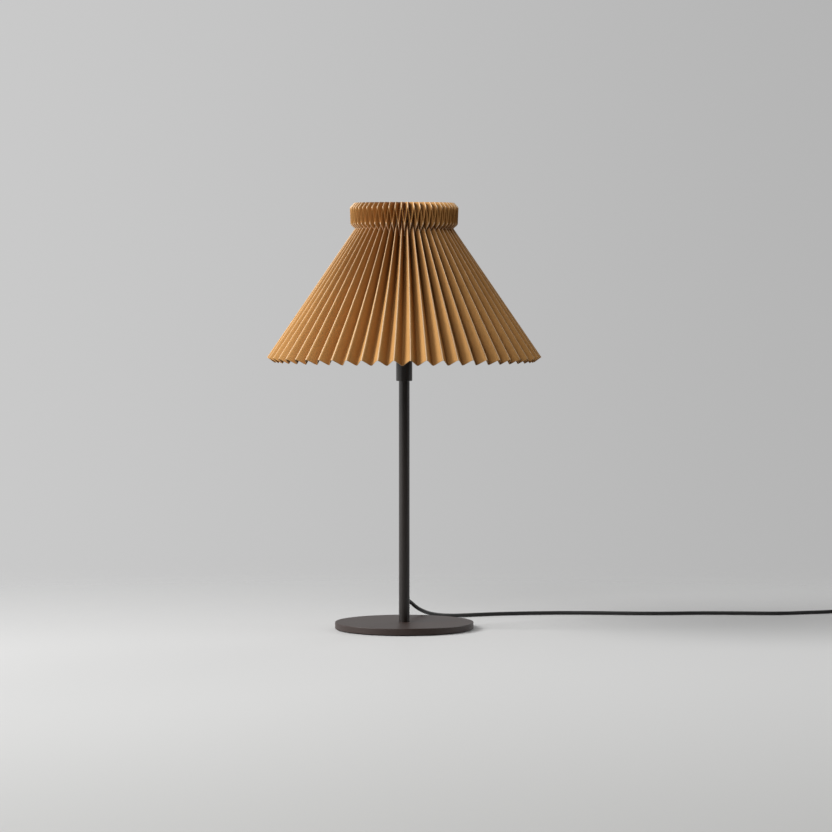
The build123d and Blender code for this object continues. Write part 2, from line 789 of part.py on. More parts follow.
def coil_turns():
    """Half turns that shrink to the middle, climb a layer there and widen again."""
    arcs = []
    spot = Vector(coil_x, switch_lane, coil_low)
    for i, radius in enumerate(coil_radii):
        side = 1 if i % 2 == 0 else -1
        climb = coil_rise if i == coil_half_turns else 0
        half_chord = Vector(0, side * radius, climb / 2)
        middle = spot + half_chord + Vector(side * half_chord.length, 0, 0)
        arcs.append(ThreePointArc(spot, middle, spot + half_chord * 2))
        spot = spot + half_chord * 2
    return arcs, spot


def step_down(start, end, level_run):
    """A lead that changes height on its way along X, level at both ends, with large bends."""
    way = 1 if end.X > start.X else -1
    first = start + Vector(way * level_run, 0, 0)
    second = end - Vector(way * level_run, 0, 0)
    half_turn = radians((first - start).get_angle(second - first)) / 2
    radius = bend_share * min(level_run, (second - first).length) / tan(half_turn)
    print("  lead radius", round(radius))
    return FilletPolyline(start, first, second, end, radius=radius)


def cord_coil():
    arcs, last = coil_turns()
    lead_in = step_down(Vector(switch_right + switch_boss, switch_lane, switch_middle),
                        Vector(coil_x, switch_lane, coil_low), lead_in_run)
    lead_out = step_down(last, Vector(plug_tail_start, last.Y, plug_middle), lead_out_run)
    path = Wire(lead_in.edges() + [arc.edge() for arc in arcs] + lead_out.edges())
    print("  coil's least gap to itself", round(least_gap(path), 2))
    return tube(path, cord_diameter)


def least_gap(path):
    """Distance between parts of the cord that are at least two diameters apart along it."""
    count = int(path.length / (cord_diameter / 3))
    points = [path @ (i / count) for i in range(count + 1)]
    apart = int(2 * cord_diameter / (path.length / count))
    least = min((a - b).length for i, a in enumerate(points) for b in points[i + apart:])
    return least - cord_diameter


def cord_tie():
    """A band round the two layers, on the side of the coil away from the lamp."""
    widest, narrowest = coil_shrink[0], coil_shrink[-1]
    middle_y = switch_lane + coil_outer + coil_pitch / 2
    reach = tie_width / 2 + coil_pitch / 2
    around = cord_diameter / 2 + tie_gap
    near = sqrt(narrowest ** 2 - reach ** 2) - around
    far = widest + around
    low = coil_low - around
    high = coil_low + coil_rise + around
    across = Plane(origin=(coil_x + (near + far) / 2, middle_y, (low + high) / 2),
                   x_dir=(1, 0, 0), z_dir=(0, -1, 0))
    inner = RectangleRounded(far - near, high - low, tie_round - tie_thickness)
    outer = RectangleRounded(far - near + 2 * tie_thickness, high - low + 2 * tie_thickness, tie_round)
    return extrude(across * (outer - inner), tie_width / 2, both=True)


def plug_line(distance):
    """A point on the plug's middle line, measured from the coil's end of its tail."""
    lane = coil_turns()[1].Y
    return (plug_tail_start - distance, lane, plug_middle)


def plug_tail():
    taper = ribbed_taper(relief_collar, tail_diameter, relief_end_diameter, tail_length)
    return Plane(origin=plug_line(tail_length), z_dir=(1, 0, 0)).from_local_coords(taper)


def pin_roots():
    x, y, z = plug_line(tail_length + plug_length)
    return [(x, y + side * pin_spacing / 2, z) for side in (-1, 1)]


def plug_section(distance, width, height):
    plane = Plane(origin=plug_line(tail_length + distance), x_dir=(0, 1, 0), z_dir=(-1, 0, 0))
    return plane * RectangleRounded(width, height, plug_round)


def plug_body():
    back = plug_section(0, plug_back_width, plug_back_height)
    front = plug_section(plug_length - plug_face_length, plug_width, plug_height)
    face = plug_section(plug_length, plug_width - plug_face_draft, plug_height - plug_face_draft)
    body = loft([back, front]) + loft([front, face])
    for x, y, z in pin_roots():
        body = body - rod((x - past, y, z), (x + pin_root, y, z), pin_diameter + 2 * fit_gap)
    return body


def plug_pins():
    pins = []
    for x, y, z in pin_roots():
        pin = rod((x + pin_root, y, z), (x - pin_length, y, z), pin_diameter)
        tip = pin.edges().sort_by(Axis.X)[0]
        pins.append(fillet(tip, pin_diameter / 4))
    return pins


# ---------------------------------------------------------------- write the pieces

os.makedirs("parts", exist_ok=True)

ridge_length, valley_length = fold_lengths()
print(f"  fold lengths: ridge {ridge_length:.1f}, valley {valley_length:.1f},",
      f"left by the trim {neck_depth * tan(-above_lean):.1f}")
print(f"  carrier ring at {carrier_ring_height():.2f}")

write("base_plate", base_plate())
write("base_pad", base_pad())
write("stem_tube", stem_tube())
write("stem_foot", stem_foot())
write("stem_screw", stem_screw())
write("stem_cup", stem_cup())
write("cup_screw", cup_screw())
write("threaded_nipple", threaded_nipple())
write("holder_cap", holder_cap())
write("holder_skirt", holder_skirt())
write("holder_insert", holder_insert())
write("holder_shell", holder_shell())
write("holder_contact", holder_contact())
write("holder_terminals", *holder_terminals())
write("clamp_ring", clamp_ring())
write("bulb_globe", bulb_globe())
write("bulb_housing", bulb_housing())
write("bulb_board", bulb_board())
write("bulb_cap", bulb_cap())
write("bulb_contact", bulb_contact())
write("paper_shade", paper_shade())
write("carrier_ring", carrier_ring())
write("carrier_hub", carrier_hub())
write("carrier_arms", *carrier_arms())
write("cord_relief", cord_relief())
write("stem_flex", stem_flex())
write("flex_cores", *flex_cores())
write("cord_stretch", cord_stretch())
write("switch_base", switch_base())
write("switch_cover", switch_cover())
write("switch_rocker", switch_rocker())
write("switch_contacts", *switch_contacts())
write("switch_spring", switch_spring())
write("switch_screws", *switch_screws())
write("cord_coil", cord_coil())
write("cord_tie", cord_tie())
write("plug_tail", plug_tail())
write("plug_body", plug_body())
write("plug_pins", *plug_pins())
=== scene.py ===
# %% [markdown]
# # A pleated paper table lamp
#
# The lamp is a steel plate, a slim tube, a lampholder and one sheet of kraft paper that is folded
# into a cone with a collar. The engineering model gives every piece its place and real size, in
# metres, with the origin on the floor under the stem and +Z up. This lesson dresses it: it adds the
# camera, the light, the finish of each surface, and the pieces whose form is soft, which are the
# paper and the cord. Nothing of the engineering model is moved, so every new piece is placed from it.

# %% Load the frame
import random
from math import atan2, cos, dist, hypot, pi, radians, sin, sqrt

import bmesh
import bpy
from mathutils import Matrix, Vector


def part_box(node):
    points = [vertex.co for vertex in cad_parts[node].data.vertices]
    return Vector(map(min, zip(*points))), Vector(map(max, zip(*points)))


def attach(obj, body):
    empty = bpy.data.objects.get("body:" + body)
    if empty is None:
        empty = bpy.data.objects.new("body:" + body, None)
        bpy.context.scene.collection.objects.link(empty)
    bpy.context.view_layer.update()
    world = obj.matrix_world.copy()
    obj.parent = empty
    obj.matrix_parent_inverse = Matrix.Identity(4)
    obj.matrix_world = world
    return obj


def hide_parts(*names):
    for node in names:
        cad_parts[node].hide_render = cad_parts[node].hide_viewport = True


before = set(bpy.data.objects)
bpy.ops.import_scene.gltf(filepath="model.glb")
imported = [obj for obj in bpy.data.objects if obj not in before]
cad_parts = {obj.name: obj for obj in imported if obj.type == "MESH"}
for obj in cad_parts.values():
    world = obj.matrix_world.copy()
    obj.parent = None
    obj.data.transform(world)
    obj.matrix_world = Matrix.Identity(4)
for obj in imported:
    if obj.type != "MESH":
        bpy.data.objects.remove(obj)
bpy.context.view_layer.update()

MM = 0.001


def box_middle(node):
    """The middle of an engineering node's box."""
    low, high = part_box(node)
    return (low + high) / 2


def place(made):
    """Put a new object in the scene."""
    bpy.context.scene.collection.objects.link(made)
    return made


# %% [markdown]
# ## The camera
#
# A camera is found from what the picture shows of a round base. The plate is a circle of known
# width, so its ellipse tells how far above it the camera stands, and its width in pixels gives the
# scale. A long lens far away has nearly the same look as a parallel view, which is why product
# photographs of lamps show almost no convergence. The camera keeps its sensor centred and is turned
# a little instead, so that it also serves when it is moved round the lamp.

# %% Camera
image_side = 832              # pixels
pixel = 1.295 * MM            # size of a pixel at the lamp's axis
camera_distance = 4.39
camera_height = 0.466
horizon_row = 270             # row of the picture at the camera's own height
axis_column = 404.2           # column of the stem's middle line
sensor = 36                   # millimetres

focal_pixels = camera_distance / pixel
lens = bpy.data.cameras.new("camera")
lens.sensor_width = sensor
lens.lens = sensor * focal_pixels / image_side
camera = place(bpy.data.objects.new("camera", lens))
camera.location = (0, -camera_distance, camera_height)
tilt = atan2(image_side / 2 - horizon_row, focal_pixels)
swing = atan2(image_side / 2 - axis_column, focal_pixels)
camera.rotation_euler = (pi / 2 - tilt, 0, -swing)
bpy.context.scene.camera = camera
print("lens", round(lens.lens, 1), "mm, tilted down", round(tilt * 180 / pi, 2), "degrees")

# %% [markdown]
# ## Writing materials as sums
#
# A finish is built from nodes. Laid out by hand, a formula such as `1 - mask * 0.3` takes two nodes
# and many lines of code, so a small class wraps a node's output and gives it the arithmetic signs:
# each sign adds one Math node. Plain numbers are worked out in Python first. Colours don't go through
# Math nodes, which would turn them grey, but through the Mix node, and positions go through Vector
# Math. Everything else comes from `node`, which takes the kind of node, its settings and what goes
# into its sockets.

# %% A wire and a recipe
class Wire:
    """The output of a node. Arithmetic on wires and numbers adds Math nodes."""

    def __init__(self, recipe, socket):
        self.recipe = recipe
        self.socket = socket

    def maths(self, operation, *values):
        return self.recipe.node("Math", {"operation": operation}, dict(enumerate(values)))

    def __add__(self, other):
        return self.maths("ADD", self, other)

    def __sub__(self, other):
        return self.maths("SUBTRACT", self, other)

    def __rsub__(self, other):
        return self.maths("SUBTRACT", other, self)

    def __mul__(self, other):
        return self.maths("MULTIPLY", self, other)

    def __truediv__(self, other):
        return self.maths("DIVIDE", self, other)

    def __abs__(self):
        return self.maths("ABSOLUTE", self)

    __radd__ = __add__
    __rmul__ = __mul__

    def fraction(self):
        return self.maths("FRACT", self)

    def between(self, low, high):
        """0 below low, 1 above high, and smooth in between."""
        limits = {"Value": self, "From Min": low, "From Max": high}
        return self.recipe.node("MapRange", {"interpolation_type": "SMOOTHSTEP"}, limits)


class Recipe:
    """The nodes of one material, or of the world."""

    def __init__(self, tree):
        self.tree = tree
        tree.nodes.clear()

    def node(self, kind, settings=None, inputs=None, output=0):
        made = self.tree.nodes.new("ShaderNode" + kind)
        for name, value in (settings or {}).items():
            setattr(made, name, value)
        for name, value in (inputs or {}).items():
            socket = made.inputs[name]
            if isinstance(value, Wire):
                self.tree.links.new(value.socket, socket)
            elif socket.type == "RGBA":
                socket.default_value = (*value, 1)
            else:
                socket.default_value = value
        return Wire(self, made.outputs[output] if made.outputs else None)

    def colour(self, share, first, second):
        """The first colour where share is 0 and the second where it is 1."""
        # the node's number and colour sockets have the same names, so they are told apart by place
        return self.node("Mix", {"data_type": "RGBA"}, {0: share, 6: first, 7: second}, 2)

    def position(self):
        """Where a point lies on its piece, in metres."""
        return self.node("TexCoord", output="Object")

    def stretched(self, place, x, y, z):
        """A position scaled along its three axes."""
        return self.node("VectorMath", {"operation": "MULTIPLY"}, {0: place, 1: (x, y, z)})

    def noise(self, place, size, detail=2, rough=0.5):
        """Cloudy values round 0.5 whose blots are about as wide as size, in metres."""
        look = {"Vector": place, "Scale": 1 / size, "Detail": detail, "Roughness": rough}
        return self.node("TexNoise", None, look)

    def bump(self, height, depth):
        """A surface that rises by height times depth, in metres."""
        return self.node("Bump", None, {"Height": height, "Distance": depth, "Strength": 1.0})


def material(name, shader_of):
    """A material whose shader is what shader_of makes of an empty recipe."""
    made = bpy.data.materials.new(name)
    made.use_nodes = True
    recipe = Recipe(made.node_tree)
    recipe.node("OutputMaterial", None, {"Surface": shader_of(recipe)})
    return made


def dress(made, *nodes):
    """Give engineering nodes a material."""
    for name in nodes:
        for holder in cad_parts[name].material_slots:
            holder.material = made


print("a recipe makes", [part for part in vars(Recipe) if not part.startswith("_")])

# %% [markdown]
# ## The stage
#
# The lamp stands on a pale floor that runs without an edge into a grey wall. A curved backdrop would
# be in the way of a camera behind the lamp, so the wall is the world itself, and the floor is a wide
# disc that turns clear with distance and lets the world show through: the two meet unseen, from all
# sides. Only rays that come straight from the camera, or by way of a mirror or glass, see that grey.
# The light that the world gives the lamp is set apart from it. What gloss sees isn't even: a studio
# is dark behind the camera, and on the left stands a pale board, which draws the bright line down the
# tube.

# %% Backdrop and floor
wall_left, wall_right = 0.60, 0.45      # brightness of the wall towards -X and +X
wall_slope = 2.6                        # how steeply the one passes into the other
front_gloss = 0.12                      # share of it that gloss sees towards the camera
front_edge = (-0.3, 0.3)                # part of a direction's +Y in which that share rises to 1
left_gloss = 2.2                        # share towards -X, where the board stands
left_edge = (0.55, 0.80)                # part of a direction's -X in which the board begins
world_light = 0.03                      # brightness of the world as a light
# painted shade: the floor's colour is darker towards the camera, for the lamps' falloff
floor_near, floor_front_painted_shade = (0.745, 0.745, 0.740), (0.51, 0.51, 0.50)
floor_edge = (-2.2, -0.2)               # metres along +Y in which front passes into near
floor_bounce = (0.30, 0.29, 0.28)       # its colour for light that goes on to the lamp
floor_lift = 0.03                       # brightness that only the camera and mirrors see on it
floor_radius = 6.0
floor_gap = 0.1 * MM                    # under the lamp, so that two faces never share a place
fade_centre = Vector((0, -1.2, 0))      # the floor is whole round this point
fade_start, fade_end = 1.0, 2.4         # metres from it in which the floor turns clear


def seen_directly(recipe):
    """1 for rays that come from the camera, a mirror or glass, and 0 for light on its way."""
    ray_kinds = ("Is Camera Ray", "Is Glossy Ray", "Is Transmission Ray")
    camera_ray, gloss_ray, clear_ray = [recipe.node("LightPath", output=kind) for kind in ray_kinds]
    return camera_ray.maths("MAXIMUM", camera_ray, gloss_ray.maths("MAXIMUM", gloss_ray, clear_ray))


def make_world():
    world = bpy.data.worlds.new("studio")
    world.use_nodes = True
    bpy.context.scene.world = world
    recipe = Recipe(world.node_tree)
    direction = recipe.node("TexCoord", output="Generated")
    sideways = recipe.node("SeparateXYZ", None, {"Vector": direction}, "X")
    backwards = recipe.node("SeparateXYZ", None, {"Vector": direction}, "Y")
    share = (sideways * wall_slope + 0.5).between(0, 1)
    wall = recipe.colour(share, (wall_left,) * 3, (wall_right,) * 3)
    in_gloss = backwards.between(*front_edge) * (1 - front_gloss) + front_gloss
    in_gloss = in_gloss + (0 - sideways).between(*left_edge) * (left_gloss - in_gloss)
    gloss_ray = recipe.node("LightPath", output="Is Glossy Ray")
    shown = recipe.node("Background", None, {"Color": wall, "Strength": 1 - gloss_ray * (1 - in_gloss)})
    light = recipe.node("Background", None, {"Color": (1, 1, 1), "Strength": world_light})
    recipe.node("OutputWorld", None, {
        "Surface": recipe.node("MixShader", None, {0: seen_directly(recipe), 1: light, 2: shown})})


def floor_shader(recipe):
    spot = recipe.position()
    from_centre = recipe.node("VectorMath", {"operation": "DISTANCE"}, {0: spot, 1: fade_centre}, "Value")
    far = from_centre.between(fade_start, fade_end)
    backwards = recipe.node("SeparateXYZ", None, {"Vector": spot}, "Y")
    # painted shade: darker towards the camera
    colour = recipe.colour(backwards.between(*floor_edge), floor_front_painted_shade, floor_near)
    seen = seen_directly(recipe)
    pale = recipe.node("BsdfPrincipled", None, {
        "Base Color": recipe.colour(seen, floor_bounce, colour),
        "Emission Color": recipe.colour(seen, (0, 0, 0), colour),
        "Emission Strength": floor_lift,
        "Roughness": 0.6,
        "Specular IOR Level": 0.2})
    return recipe.node("MixShader", None, {0: far, 1: pale, 2: recipe.node("BsdfTransparent")})


def make_floor():
    mesh = bpy.data.meshes.new("floor")
    shape = bmesh.new()
    bmesh.ops.create_circle(shape, cap_ends=True, segments=128, radius=floor_radius)
    shape.to_mesh(mesh)
    shape.free()
    mesh.materials.append(material("floor", floor_shader))
    made = place(bpy.data.objects.new("floor", mesh))
    made.location.z = -floor_gap


make_world()
make_floor()
bpy.context.scene.view_settings.view_transform = "Standard"
fade_places = [round(fade_centre.y + reach, 2) for reach in (fade_start, fade_end)]
print("floor fades from", fade_places[0], "to", fade_places[1], "m behind the stem")

# %% [markdown]
# ## The light
#
# One large soft lamp stands far round to the left, so that it rakes across the pleats: the side of
# each pleat that faces it is bright, and the other is in the shade of its neighbour. A second, at a
# third of its power, stands in front and a little left, and opens the faces that look at the camera.
# A weak one from the right keeps the far third readable, and another at the back does the same for
# whoever walks round the lamp. Soft light comes from a large source, and an area lamp that is
# pointed at the piece gives it.

# %% Lamps
shade_middle = box_middle("paper_shade")


def area_lamp(name, spot, size, power):
    """A white lamp that points at the middle of the shade: size in metres, power in watts."""
    data = bpy.data.lights.new(name, "AREA")
    data.shape = "RECTANGLE"
    data.size, data.size_y = size
    data.energy = power
    made = place(bpy.data.objects.new(name, data))
    made.location = spot
    made.rotation_mode = "QUATERNION"
    made.rotation_quaternion = (shade_middle - Vector(spot)).to_track_quat("-Z", "Y")


area_lamp("side", (-3.35, -0.85, 2.5), (2.2, 1.8), 176)
area_lamp("front", (-1.35, -3.2, 2.45), (2.0, 2.0), 56)
area_lamp("edge", (3.5, -0.3, 1.3), (1.2, 1.8), 20)
area_lamp("back", (2.3, 3.2, 2.6), (1.6, 1.6), 26)
print("lamps", [light.name for light in bpy.data.lights])

# %% [markdown]
# ## The cord
#
# The flex leaves the stem at the back, 36 mm above the floor, falls behind the plate and runs along
# the floor to the right. The picture shows 0.6 m of it. Such a lamp has about 1.8 m, with a switch
# in the line and a plug, so the rest lies just outside the view: the switch, then the spare length
# wound into a tied coil, then the plug. A flex has no corners, so its line is a NURBS curve: the
# points are handles that it is drawn towards, and it never has the dents of a line through sampled
# points. The route repeats the one that the engineering model's tube follows.

# %% The route to the switch
cord_diameter = 5 * MM
cord_route = [                     # millimetres, chosen to follow the picture
    (0, 29, 36), (0, 43, 36), (7.5, 62, 29.8), (17, 80, 19.2), (30, 101, 10.8), (44, 120.5, 6.0),
    (62.5, 137, 3.4), (83, 149.5, 2.6), (112, 163, 2.6), (159, 175.5, 2.6), (217, 182, 2.6),
    (276, 177.5, 2.6), (338, 170, 2.6), (397, 178, 2.6), (455, 176, 2.6), (508, 170.5, 2.6),
    (542, 183, 2.6), (577, 193, 2.6), (600, 195.5, 4.0), (618, 196, 8.5), (636, 196, 8.5)]


def flex(name, points, steps_between):
    """A round cord whose line is drawn towards the points, in so many steps from one to the next."""
    line = bpy.data.curves.new(name, "CURVE")
    line.dimensions = "3D"
    spline = line.splines.new("NURBS")
    spline.points.add(len(points) - 1)
    for handle, spot in zip(spline.points, points):
        handle.co = (*spot, 1)
    spline.order_u = 3
    spline.use_endpoint_u = True
    spline.resolution_u = steps_between
    line.bevel_depth = cord_diameter / 2
    line.bevel_resolution = 6
    line.use_fill_caps = True
    return place(bpy.data.objects.new(name, line))


def along(curve):
    """Points that lie on a curve's own line, close together."""
    bare = bpy.data.objects.new("bare_line", curve.data.copy())
    bare.data.bevel_depth = 0
    mesh = bpy.data.meshes.new_from_object(bare)
    spots = [vertex.co.copy() for vertex in mesh.vertices]
    bpy.data.objects.remove(bare)
    return spots


def length_of(curve):
    spots = along(curve)
    return sum(dist(a, b) for a, b in zip(spots, spots[1:]))


cord_stretch = flex("flex_to_switch", [Vector(spot) * MM for spot in cord_route], steps_between=12)
print("flex to the switch", round(length_of(cord_stretch), 3), "m")

# %% [markdown]
# ## The coil
#
# The spare metre is wound as a shop winds it: half turns that shrink towards the middle, one that
# climbs onto the layer below, and half turns that widen again. A loop makes the points. A NURBS line
# of order 3 passes inside its points, by the cosine of half the step between them on a circle, so
# the points stand that much further out.

# %% The coil's turns
coil_outer = 34.0                 # radius of the widest half turn: millimetres, as all below
coil_half_turns = 5               # in each of the two layers
coil_pitch = 5.6                  # from one turn to the next
coil_rise = 5.5                   # from the lower layer to the upper
coil_low = 3.7                    # height of the lower layer's middle
coil_x = 744.0                    # where the first half turn starts
coil_y = 196.0
points_in_half_turn = 8
lead_in = [(708, 196, 8.5), (718.8, 196, 8.5), (733.2, 196, 3.7)]
lead_out = [(734.76, 269.6, 9.2), (725.24, 269.6, 6.85), (716, 269.6, 6.85)]


def coil_points():
    shrinking = [coil_outer - coil_pitch / 2 * turn for turn in range(coil_half_turns)]
    radii = shrinking + [shrinking[-1] - coil_pitch / 2] + shrinking[::-1]
    reach = 1 / cos(pi / 2 / points_in_half_turn)
    spot = Vector((coil_x, coil_y, coil_low))
    for turn, radius in enumerate(radii):
        side = 1 if turn % 2 == 0 else -1
        climb = coil_rise if turn == coil_half_turns else 0
        back = Vector((0, -side * radius, -climb / 2))
        out = Vector((side * back.length, 0, 0))
        for step in range(points_in_half_turn):
            angle = pi * (step + 0.5) / points_in_half_turn
            yield spot - back + (back * cos(angle) + out * sin(angle)) * reach
        spot = spot - back * 2


coil_line = lead_in + [tuple(spot) for spot in coil_points()] + lead_out
cord_coil = flex("flex_coil", [Vector(spot) * MM for spot in coil_line], steps_between=6)
print("flex in the coil", round(length_of(cord_coil), 3), "m")

# %% [markdown]
# ## Flex finish
#
# Lamp flex has a smooth black plastic jacket. It isn't quite even: its skin is very finely grained,
# and handling leaves it a little paler and duller in places. Both are small changes of roughness, and
# the grain is a very shallow bump as well.

# %% Cord material
def cord_shader(recipe):
    spot = recipe.position()
    blotch = recipe.noise(spot, size=12 * MM, detail=3)
    skin = recipe.noise(spot, size=0.5 * MM)
    return recipe.node("BsdfPrincipled", None, {
        "Base Color": recipe.colour(blotch, (0.010, 0.010, 0.010), (0.018, 0.017, 0.016)),
        "Roughness": 0.38 + blotch * 0.14 + skin * 0.06,
        "Normal": recipe.bump(skin, 0.02 * MM)})


cord_black = material("cord_black", cord_shader)
plug_nodes = ["plug_tail", "plug_body", "plug_pins"]
for cord, node in ((cord_stretch, "cord_stretch"), (cord_coil, "cord_coil")):
    cord.data.materials.append(cord_black)
    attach(cord, "stand")
    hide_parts(node)

# %% [markdown]
# ## The pleated shade
#
# The shade is one sheet of paper, scored and folded by hand into 54 pleats, drawn together at the
# neck and folded back twice to make the collar. The engineering model has it as flat facets with
# knife-sharp folds. Real paper bends round a fold with a small radius, and no two pleats are quite
# alike. So the sheet is made anew: the fold lines are read from the frame, the strip between two
# neighbouring folds is filled with a mesh that is dense near the folds and coarse in between, and a
# Solidify modifier gives it the thickness of the paper.

# %% Fold lines from the frame
pleat_count = 54
fold_count = 2 * pleat_count
paper = 0.4 * MM                 # thickness of the sheet
same_place = 0.02 * MM           # corners nearer than this are one corner
same_turn = 1e-4                 # and those within this many radians are on one fold
sheet_corners = [vertex.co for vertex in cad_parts["paper_shade"].data.vertices]
hem_radius = max(hypot(corner.x, corner.y) for corner in sheet_corners)
hem_turns = [atan2(corner.y, corner.x) for corner in sheet_corners
             if hypot(corner.x, corner.y) > hem_radius - same_place]
first_ridge = min(hem_turns, key=lambda turn: abs(turn + pi / 2))
panel_turn = pi / pleat_count


def fold_line(turn):
    """Corners of the fold at one turn round the lamp: (radius, height), midway through the paper."""
    found = sorted((corner.z, hypot(corner.x, corner.y)) for corner in sheet_corners
                   if abs(atan2(corner.y, corner.x) - turn) < same_turn)
    faces = [spot for spot, before in zip(found, [(0, 0)] + found) if dist(spot, before) > same_place]
    return [Vector(((a[1] + b[1]) / 2, (a[0] + b[0]) / 2)) for a, b in zip(faces[::2], faces[1::2])]


ridge_line = fold_line(first_ridge)
valley_line = fold_line(first_ridge + panel_turn)
print("first ridge", round(first_ridge * 180 / pi, 2), "degrees, corners", len(ridge_line), len(valley_line))

# %% [markdown]
# Every fold gets the same number of rows, so that each row joins ridge to valley straight across.
# The rows are even on the cone, on the way out to the collar's edge and on the collar. The two cross
# folds between them get a few rows each, on a short curve in place of the corner.

# %% Rows along a fold
cone_rows = 26
bend_rows = 4
strip_rows = 5
bend_reach = 2.2 * MM            # of the rounding on each side of a cross fold
rim_trim = 1.2 * MM              # the soft rim sinks by so much as its corner rounds


def even_steps(points, count):
    """So many points at even distances along a line of corners, without its end."""
    lengths = [(b - a).length for a, b in zip(points, points[1:])]
    spots = []
    for step in range(count):
        left = sum(lengths) * step / count
        run = 0
        while left > lengths[run]:
            left -= lengths[run]
            run += 1
        spots.append(points[run].lerp(points[run + 1], left / lengths[run]))
    return spots


def rounded_bend(before, corner, after):
    """The line's way round a corner, and where it starts and ends."""
    start = corner + (before - corner).normalized() * bend_reach
    end = corner + (after - corner).normalized() * bend_reach
    shares = [step / bend_rows for step in range(bend_rows)]
    return start, end, [start.lerp(corner, t).lerp(corner.lerp(end, t), t) for t in shares]


def rows_of(line):
    """A fold's line from hem to rim, with its two cross folds rounded."""
    neck_start, neck_end, neck_bend = rounded_bend(line[-4], line[-3], line[-2])
    collar_start, collar_end, collar_bend = rounded_bend(line[-3], line[-2], line[-1])
    rows = even_steps([*line[:-3], neck_start], cone_rows) + neck_bend
    rows += even_steps([neck_end, collar_start], strip_rows) + collar_bend
    top = line[-1].y - rim_trim
    rim = line[-2].lerp(line[-1], (top - line[-2].y) / (line[-1].y - line[-2].y))
    return rows + even_steps([collar_end, rim], strip_rows) + [rim]


ridge_rows, valley_rows = rows_of(ridge_line), rows_of(valley_line)
row_count = len(ridge_rows)
way_up = [0.0]
for low, high in zip(ridge_rows, ridge_rows[1:]):
    way_up.append(way_up[-1] + (high - low).length)
print("rows", row_count, "fold length", round(way_up[-1], 4))

# %% [markdown]
# Across a pleat the line from ridge to valley is straight, with a rounding at each end. Written for
# a share `s` of the panel, its slope rises from nothing to full over `ease`, stays, and falls again,
# so the folds keep their place. A fold's radius follows from `ease`, the width and the depth of the
# pleat there. Near the neck the pleats are so narrow that the paper is nearly all bend.

# %% The line across a panel
fold_radius_hem = 1.5 * MM
fold_radius_neck = 0.7 * MM
bend_limit = 0.20                # of ease * (1 - ease), so that part of the panel stays flat
twist = radians(1.3)             # of the sheet from its hem to its neck, towards +X at the front
fold_lean = 0.0014               # radians, the usual error of a fold's place round the lamp
fold_depth = 0.22 * MM           # and of its radius
random_folds = random.Random(54)
lean_of_fold = [random_folds.gauss(0, fold_lean) for fold in range(fold_count)]
depth_of_fold = [random_folds.gauss(0, fold_depth) for fold in range(fold_count)]


def ease_at(row):
    """The share of a panel that a fold's rounding takes up on each side."""
    ridge, valley = ridge_rows[row], valley_rows[row]
    width = (ridge.x + valley.x) / 2 * panel_turn
    up = min(row / cone_rows, 1)
    fold_radius = fold_radius_hem + (fold_radius_neck - fold_radius_hem) * up
    bend = min(fold_radius * (ridge - valley).length / width ** 2, bend_limit)
    return (1 - sqrt(1 - 4 * bend)) / 2


def depth_share(s, ease):
    """How far a point at share s of a panel has gone from its ridge to its valley."""
    if s > 0.5:
        return 1 - depth_share(1 - s, ease)
    if s < ease:
        return s * s / (2 * ease * (1 - ease))
    return (s - ease / 2) / (1 - ease)


def fold_spot(fold, row):
    """(radius, height) of a fold at a row, with this fold's own small error."""
    spot = ridge_rows[row] if fold % 2 == 0 else valley_rows[row]
    return spot + Vector((depth_of_fold[fold % fold_count], 0))


def sheet_spot(panel, s, row):
    """A point of the sheet's middle surface."""
    share = depth_share(s, ease_at(row))
    radius, height = fold_spot(panel, row).lerp(fold_spot(panel + 1, row), share)
    lean = lean_of_fold[panel % fold_count] * (1 - s) + lean_of_fold[(panel + 1) % fold_count] * s
    turn = first_ridge + (panel + s) * panel_turn + lean * ridge_rows[row].x / hem_radius
    turn += twist * min(row / cone_rows, 1)
    return Vector((radius * cos(turn), radius * sin(turn), height))


print("ease at the hem", round(ease_at(0), 3), "and at the neck", round(ease_at(cone_rows), 3))

# %% [markdown]
# With a formula for any point of the sheet, the mesh is a grid: rows up the folds, and columns that
# stand close together in the roundings and far apart on the flat of a panel. The last column joins
# the first and closes the ring.

# %% The sheet as a mesh
def stations(row):
    """Shares of a panel where the mesh has a line, closer together in the folds."""
    ease = ease_at(row)
    return [0, ease / 3, ease * 2 / 3, ease, 0.5, 1 - ease, 1 - ease * 2 / 3, 1 - ease / 3]


def grid_mesh(name, spots, across, steps):
    """A mesh of rows with so many points across. As many steps as points close each row to a ring."""
    faces = [(row + line, row + (line + 1) % across, row + across + (line + 1) % across, row + across + line)
             for row in range(0, len(spots) - across, across) for line in range(steps)]
    mesh = bpy.data.meshes.new(name)
    mesh.from_pydata(spots, [], faces)
    return mesh


def sheet_mesh(name, columns_at, spot_of, closed):
    """A piece of the sheet, mapped flat in panels across and millimetres up."""
    grid = [columns_at(row) for row in range(row_count)]
    across = len(grid[0])
    steps = across if closed else across - 1
    spots = [spot_of(panel, s, row) for row, columns in enumerate(grid) for panel, s in columns]
    mesh = grid_mesh(name, spots, across, steps)
    layer = mesh.uv_layers.new(name="sheet")
    for face in mesh.polygons:
        row, line = divmod(face.index, steps)
        corners = ((line, row), (line + 1, row), (line + 1, row + 1), (line, row + 1))
        for loop, (column, up) in zip(face.loop_indices, corners):
            panel, s = grid[up][column % across]
            layer.uv[loop].vector = (panel + s + column // across * fold_count, way_up[up] / MM)
    return mesh


def all_round(row):
    return [(panel, s) for panel in range(fold_count) for s in stations(row)]


sheet = place(bpy.data.objects.new("pleated_sheet", sheet_mesh("pleated_sheet", all_round, sheet_spot, True)))
print("sheet faces", len(sheet.data.polygons))

# %% [markdown]
# A sheet that is closed into a ring has a seam: its last panel lies on its first and is glued there.
# It is put at the back, a little more than one thickness proud, and its cut edge stops just short of
# a valley. The lap is raised from the panel under it along that panel's own normal, so the two never
# touch.

